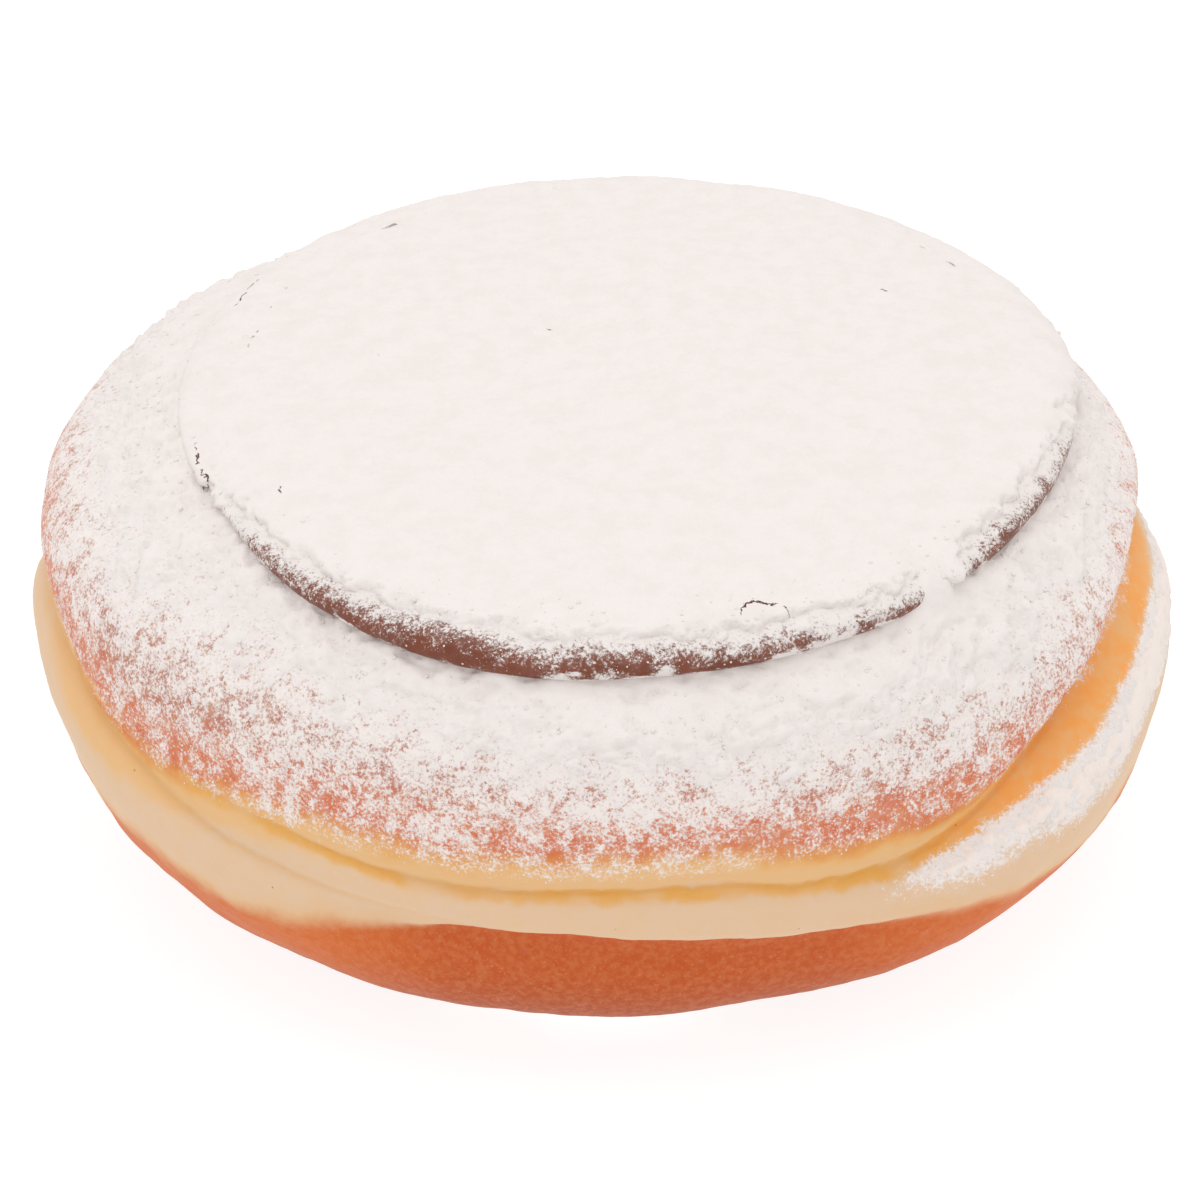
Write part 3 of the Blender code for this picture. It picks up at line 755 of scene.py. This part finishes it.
def crinkle(spot):
    # The crinkled top of the crust: broad hollows, scale-like ridges and a fine tooth.
    aside = spot + Vector((0.1, 0, 0))
    bent = Vector(spot) + Vector((cloudAt(spot, 3 * mm, 2), cloudAt(aside, 3 * mm, 2), 0)) * mm
    ridge = 0.15 * (1.0 - abs(cloudAt(Vector((bent.x * 0.7, bent.y * 1.7, bent.z)), 2.8 * mm, 3)))
    return 0.26 * cloudAt(spot, 9 * mm, 2) + ridge + 0.035 * cloudAt(spot, 0.9 * mm, 3) - 0.08


def makeDiscCrust(look):
    tree = treeOf(disc)
    columns, edgeRows, topRows = look["columns"], look["edgeRows"], look["topRows"]
    middle, up = Vector((*chocolateLook["centre"], 0.0)), Vector((0, 0, 1))
    spots = np.empty((edgeRows + topRows, columns, 3))
    for c, turn in enumerate(np.linspace(0.0, 360.0, columns, endpoint=False)):
        out = outAt(turn)
        core, reach = discRounding(tree, turn, chocolateLook)
        limit = float(around(turn, chocolateLook["crustEdge"]))
        for r in range(edgeRows):
            angle = math.radians(-68 + 158 * r / edgeRows)
            away = out * math.cos(angle) + up * math.sin(angle)
            spot = castOn(tree, core, away)
            grain = cloudAt(spot, 1.3 * mm, 4)
            cover = float(smoothstep(math.degrees(angle) - limit + look["ragged"] * grain, -20, 30))
            depth = look["thickness"] * cover - 0.22 * (1 - cover) + 0.10 * grain * cover
            depth += crinkle(spot) * cover * max(0.0, math.sin(angle))
            spots[r, c] = spot + away * (depth * mm)
        for r in range(topRows):
            target = middle + out * (reach - chocolateLook["round"] * mm) * (1.0 - r / topRows)
            spot = castOn(tree, target + up * 0.04, up)
            spots[edgeRows + r, c] = spot + up * ((look["thickness"] + crinkle(spot)) * mm)
    piece = gridMesh("sugarOnDisc", spots, capped=True)
    markCracks(piece)
    finishPiece(piece, crustMaterial, "icing_sugar", "sugar_on_disc")
    return piece


crustMaterial = makeSugarMaterial("icingSugarCrust", "bright", "shade", 0.7 * mm, 0.10 * mm)
ledgeMaterial = makeSugarMaterial("icingSugarOnLedge", "ledge", "ledgeShade", 0.7 * mm, 0.08 * mm)
discSugar = makeDiscCrust(discCrust)
print("sugar on disc", len(discSugar.data.polygons), "faces")


bunCrust = {
    "columns": 800,
    "rows": 100,
    "heart": (-0.0005, 0.0003, 0.020),
    "start": 3.0,  # how far above the sugar's lower limit the crust begins
    "thickness": 0.42,
    "bare": 0.72,  # cover at which the crust begins to stand out of the dough
    "full": 1.06,
    "settled": 260,  # how often the corner is filled a little
    # (turn, share) of how far the sugar fills the corner between shoulder and disc
    "fill": [(-180, 1), (-96, 1), (-84, 0.9), (-76, 0.6), (-68, 0.35), (-60, 0.3), (-16, 0.3),
             (-13, 0.4), (-11, 0.55), (-9, 0.4), (-6, 0.3), (35, 0.3), (39, 0.7), (41, 1), (43, 1),
             (46, 0.5), (50, 0.3), (76, 0.3), (90, 0.5), (104, 1), (180, 1)],
}


def makeBunCrust(look):
    onDough, onDisc, both = treeOf(dough), treeOf(disc), treeOf(dough, disc)
    heart, up = Vector(look["heart"]), Vector((0, 0, 1))
    turns = np.linspace(-180.0, 180.0, look["columns"], endpoint=False)
    fill = np.interp(turns, *zip(*look["fill"]))
    low = slopeTo(around(turns, doughLook["sugarFoot"]) + look["start"])
    high = np.empty_like(low)
    for c, turn in enumerate(turns):
        core, reach = discRounding(onDisc, turn, chocolateLook)
        middle = Vector((*chocolateLook["centre"], 0.0))
        foot = castOn(onDough, middle + outAt(turn) * (reach - 0.9 * mm) + up * 0.04, up)
        ends = (foot - heart, core + up * 2.4 * mm - heart)
        slopes = [math.degrees(math.atan2(s.z, s.xy.length)) for s in ends]
        high[c] = slopes[0] + (slopes[1] - slopes[0]) * fill[c]
    slopes = low + (high - low) * np.linspace(0.0, 1.0, look["rows"])[:, None]
    bare, whole = (castGrid(tree, heart, turns, slopes) - np.array(heart) for tree in (onDough, both))
    bareReach, reach = (np.linalg.norm(spots, axis=-1) for spots in (bare, whole))
    filled = reach.copy()
    for _ in range(look["settled"]):
        filled[1:-1] = np.maximum(reach[1:-1], (filled[:-2] + filled[1:-1] * 2 + filled[2:]) / 4)
    grown = bareReach + (filled - bareReach) * fill
    spots = whole / reach[..., None] * grown[..., None] + np.array(heart)
    outward = outwardAt(spots)
    grain, patch = clouds(spots, 1.4 * mm, 4), clouds(spots, 5 * mm, 2)
    cover = sugarShare(turnOf(spots[..., 0], spots[..., 1]), spots[..., 2] / mm)
    share = smoothstep(cover + 0.12 * patch + 0.22 * grain, look["bare"], look["full"])
    depth = look["thickness"] * share - 0.12 * (1 - share)
    depth += (0.03 + 0.10 * share) * grain + 0.12 * share * patch
    atDisc = smoothstep(np.linspace(0.0, 1.0, look["rows"]), 0.80, 0.97)[:, None]
    depth += 0.30 * atDisc * clouds(spots, 1.1 * mm, 3, 0.4)  # its edge against the disc is ragged
    depth[0] = -1.0
    spots = spots + outward * (np.maximum(depth, -1.0) * mm)[..., None]
    piece = gridMesh("sugarOnShoulder", spots)
    markCracks(piece)
    finishPiece(piece, crustMaterial, "icing_sugar", "sugar_on_bun")
    return piece


bunSugar = makeBunCrust(bunCrust)
print("sugar on shoulder", len(bunSugar.data.polygons), "faces")


def makeLedgeCrust(look):
    tree = treeOf(dough)
    turns = np.linspace(*look["turns"], look["columns"])
    lower, upper = (np.interp(turns, *zip(*look[name])) for name in ("lower", "upper"))
    shares = np.linspace(0.0, 1.0, look["rows"])[:, None]
    level = lower - look["spare"] + (upper - lower + 2 * look["spare"]) * shares
    spots = np.empty((*level.shape, 3))
    for c, turn in enumerate(turns):
        for r in range(look["rows"]):
            spots[r, c] = castOn(tree, Vector((0, 0, level[r, c] * mm)), outAt(turn), 0.08)
    outward = outwardAt(spots, wholeRound=False)
    grain = clouds(spots, 1.3 * mm, 4)
    inside = np.minimum((level - lower) * 0.6, upper - level)  # it thins out more slowly downwards
    ends = smoothstep(turns, 25, 34) * (1 - smoothstep(turns, 86, 103))
    cover = smoothstep(inside + 1.1 * grain + 2.0 * (ends - 1), 0.2, 1.8)
    depth = look["thickness"] * cover - 0.16 * (1 - cover) + 0.03 * cover * grain
    depth[[0, -1]] = -1.2
    depth[:, [0, -1]] = -1.2
    piece = gridMesh("sugarOnLedge", spots + outward * (depth * mm)[..., None], wholeRound=False)
    finishPiece(piece, ledgeMaterial, "icing_sugar", "sugar_on_ledge")
    return piece


ledgeSugar = makeLedgeCrust(ledgeCrust)
print("sugar on ledge", len(ledgeSugar.data.polygons), "faces")


# lumps of sugar

lumpsLook = {
    # most of them to a square metre, radius of the smallest and largest (mm), share of it that they
    # stand up, detail of the ball and seed
    "specksOnDough": (4.2e6, 0.045, 0.14, 0.8, 1, 4),
    "specksOnChocolate": (4.5e6, 0.04, 0.12, 0.8, 1, 9),
    "lumpsOnShoulder": (1.1e6, 0.06, 0.26, 0.6, 1, 2),
    "lumpsOnDisc": (1.6e6, 0.07, 0.26, 0.6, 1, 6),
}


def makeLumpTree():
    # Lumps strewn over a bed, as many as its lumpShare says, most of them small.
    tree = bpy.data.node_groups.new("sugarLumps", "GeometryNodeTree")
    inputs = {}
    for label, kind in (("Bed", "Geometry"), ("Density", "Float"), ("Smallest", "Float"),
                        ("Largest", "Float"), ("Height", "Float"), ("Detail", "Int"), ("Seed", "Int"),
                        ("Sugar", "Material")):
        socket = tree.interface.new_socket(label, in_out="INPUT", socket_type="NodeSocket" + kind)
        inputs[label] = socket.identifier
    tree.interface.new_socket("Lumps", in_out="OUTPUT", socket_type="NodeSocketGeometry")
    entry = tree.nodes.new("NodeGroupInput").outputs
    named = addNode(tree, "GeometryNodeInputNamedAttribute", {"Name": "lumpShare"}, data_type="FLOAT")
    density = calc(tree, "MULTIPLY", named.outputs[0], entry["Density"])
    strewn = addNode(tree, "GeometryNodeDistributePointsOnFaces",
                     {"Mesh": entry["Bed"], "Density": density, "Seed": entry["Seed"]},
                     distribute_method="RANDOM")
    chance = addNode(tree, "FunctionNodeRandomValue", {"Seed": entry["Seed"]}, data_type="FLOAT")
    small = calc(tree, "POWER", chance.outputs["Value"], 3.0)
    span = calc(tree, "SUBTRACT", entry["Largest"], entry["Smallest"])
    size = calc(tree, "MULTIPLY_ADD", small, span, entry["Smallest"])
    shape = addNode(tree, "FunctionNodeRandomValue", data_type="FLOAT_VECTOR")
    shape.inputs[0].default_value, shape.inputs[1].default_value = (0.7, 0.6, 0.7), (1.0, 1.0, 1.0)
    tree.links.new(calc(tree, "ADD", entry["Seed"], 17.0), shape.inputs["Seed"])
    rise = calc(tree, "MULTIPLY", size, entry["Height"])
    flat = addNode(tree, "ShaderNodeCombineXYZ", {0: size, 1: size, 2: rise})
    scale = addNode(tree, "ShaderNodeVectorMath", {0: shape.outputs[0], 1: flat.outputs[0]},
                    operation="MULTIPLY")
    spin = addNode(tree, "FunctionNodeRandomValue", data_type="FLOAT_VECTOR")
    spin.inputs[0].default_value, spin.inputs[1].default_value = (-0.2, -0.2, 0.0), (0.2, 0.2, 6.28)
    tree.links.new(calc(tree, "ADD", entry["Seed"], 31.0), spin.inputs["Seed"])
    turned = addNode(tree, "FunctionNodeRotateRotation",
                     {0: strewn.outputs["Rotation"], 1: spin.outputs[0]}, rotation_space="LOCAL")
    ball = addNode(tree, "GeometryNodeMeshIcoSphere", {"Radius": 1.0, "Subdivisions": entry["Detail"]})
    lumps = addNode(tree, "GeometryNodeInstanceOnPoints",
                    {"Points": strewn.outputs["Points"], "Instance": ball.outputs["Mesh"],
                     "Rotation": turned.outputs[0], "Scale": scale.outputs[0]})
    solid = addNode(tree, "GeometryNodeRealizeInstances", {"Geometry": lumps.outputs[0]}).outputs[0]
    links = {"Geometry": solid, "Material": entry["Sugar"]}
    dressed = addNode(tree, "GeometryNodeSetMaterial", links).outputs[0]
    tree.links.new(dressed, tree.nodes.new("NodeGroupOutput").inputs["Lumps"])
    return tree, inputs


lumpTree, lumpInputs = makeLumpTree()


def strewLumps(name, bed, share):
    density, smallest, largest, height, detail, seed = lumpsLook[name]
    piece = bpy.data.objects.new(name, bed.data.copy())
    bpy.context.scene.collection.objects.link(piece)
    setAttribute(piece, "lumpShare", share)
    strewing = piece.modifiers.new("strewing", "NODES")
    strewing.node_group = lumpTree
    values = {"Density": density, "Smallest": smallest * mm, "Largest": largest * mm,
              "Height": height, "Detail": detail, "Seed": seed, "Sugar": crustMaterial}
    for label, value in values.items():
        strewing[lumpInputs[label]] = value
    makePlain(piece)
    finishPiece(piece, crustMaterial, "icing_sugar")
    print(name, len(piece.data.polygons), "faces")


def attributeOf(piece, name):
    found = np.empty(len(piece.data.vertices))
    piece.data.attributes[name].data.foreach_get("value", found)
    return found


def strewAll():
    cover = attributeOf(dough, "sugarCover")
    spots = verticesOf(dough)
    height = spots[:, 2] / mm
    drifts = np.array([cloudAt(p, 4 * mm, 2) for p in spots])
    zone = smoothstep(cover, 0.04, 0.35) * (1 - smoothstep(cover, 0.85, 1.05))
    zone *= smoothstep(height, 10.0, 12.0)
    strewLumps("specksOnDough", dough, zone * np.clip(0.6 + drifts, 0.1, 1.2))
    cover = attributeOf(disc, "sugarCover")
    zone = smoothstep(cover, 0.02, 0.5) * (1 - smoothstep(cover, 0.88, 0.95))
    zone *= smoothstep(normalsOf(disc)[:, 2], -0.7, -0.4)  # none on its underside
    strewLumps("specksOnChocolate", disc, zone)
    spots = verticesOf(bunSugar)
    cover = sugarShare(turnOf(spots[:, 0], spots[:, 1]), spots[:, 2] / mm)
    zone = smoothstep(cover, 0.66, 0.80) * (1 - 0.85 * smoothstep(cover, 1.0, 1.15))
    strewLumps("lumpsOnShoulder", bunSugar, zone)
    spots = verticesOf(discSugar)
    outward = np.hypot(*(spots[:, :2] - chocolateLook["centre"]).T) / mm
    zone = smoothstep(outward, 31.5, 33.0) * bell(spots[:, 2] / mm - 38.2, 0.9)  # along its edge
    strewLumps("lumpsOnDisc", discSugar, zone)


strewAll()


# floor and light

studio = {
    "sky": 0.92,
    "key": 1.0,
    "keyAt": (-0.03, -0.06, 0.60),
    "keySize": 0.5,
    "floor": (0.22, 0.22, 0.22, 1),
    "glow": 0.86,  # the table is lit from below, as for a cut-out
}


def makeStudio(look):
    bpy.context.scene.view_settings.view_transform = "Standard"
    world = bpy.data.worlds.new("studio")
    world.use_nodes = True
    world.node_tree.nodes["Background"].inputs["Color"].default_value = (1, 1, 1, 1)
    world.node_tree.nodes["Background"].inputs["Strength"].default_value = look["sky"]
    bpy.context.scene.world = world
    lamp = bpy.data.objects.new("softbox", bpy.data.lights.new("softbox", "AREA"))
    lamp.data.size = look["keySize"]
    lamp.data.energy = look["key"]
    bpy.context.scene.collection.objects.link(lamp)
    spot = Vector(look["keyAt"])
    lamp.matrix_world = Matrix.Translation(spot) @ spot.to_track_quat("Z", "Y").to_matrix().to_4x4()
    working = bmesh.new()
    bmesh.ops.create_grid(working, x_segments=1, y_segments=1, size=2.0)
    mesh = bpy.data.meshes.new("floor")
    working.to_mesh(mesh)
    working.free()
    floor = bpy.data.objects.new("floor", mesh)
    bpy.context.scene.collection.objects.link(floor)
    material, _, shader = newMaterial("floorPaint", Roughness=0.9)
    shader.inputs["Base Color"].default_value = look["floor"]
    shader.inputs["Emission Color"].default_value = (1, 1, 1, 1)
    shader.inputs["Emission Strength"].default_value = look["glow"]
    mesh.materials.append(material)


makeStudio(studio)
print("studio ready")
